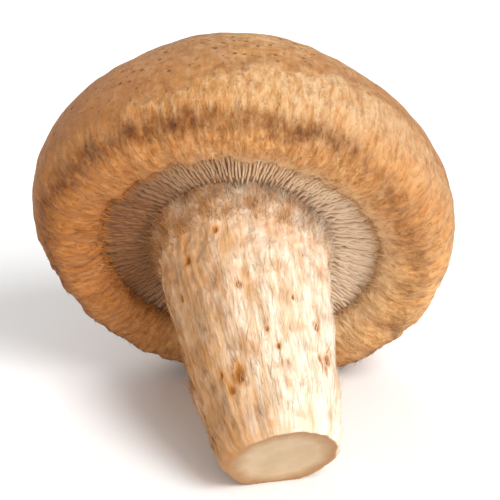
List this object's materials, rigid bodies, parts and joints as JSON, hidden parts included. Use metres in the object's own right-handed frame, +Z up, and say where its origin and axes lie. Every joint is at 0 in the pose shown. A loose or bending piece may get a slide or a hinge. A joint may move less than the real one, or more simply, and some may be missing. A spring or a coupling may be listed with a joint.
{
  "type": "shiitake mushroom",
  "caption": "Fresh shiitake mushroom lying on its side: domed cap with a rolled-in margin, a ring of fine gills and a stout stem cut flat.",
  "frame": {"origin": "centre of the bounding box's base, on the surface that the mushroom lies on", "axes": "+Z up from that surface; the stem and the gills face -Y and the crown of the cap faces +Y; +X to the right as seen from the stem's side. The cap's own axis lies in the YZ plane and rises towards +Y"},
  "size_m": [0.0494, 0.0506, 0.0463],
  "materials": {
    "cap_skin": "matte",
    "gill_flesh": "matte",
    "stem_flesh": "matte"
  },
  "bodies": {
    "root": {"cap": "cap_skin", "gills": "gill_flesh", "stem": "stem_flesh"}
  },
  "joints": []
}
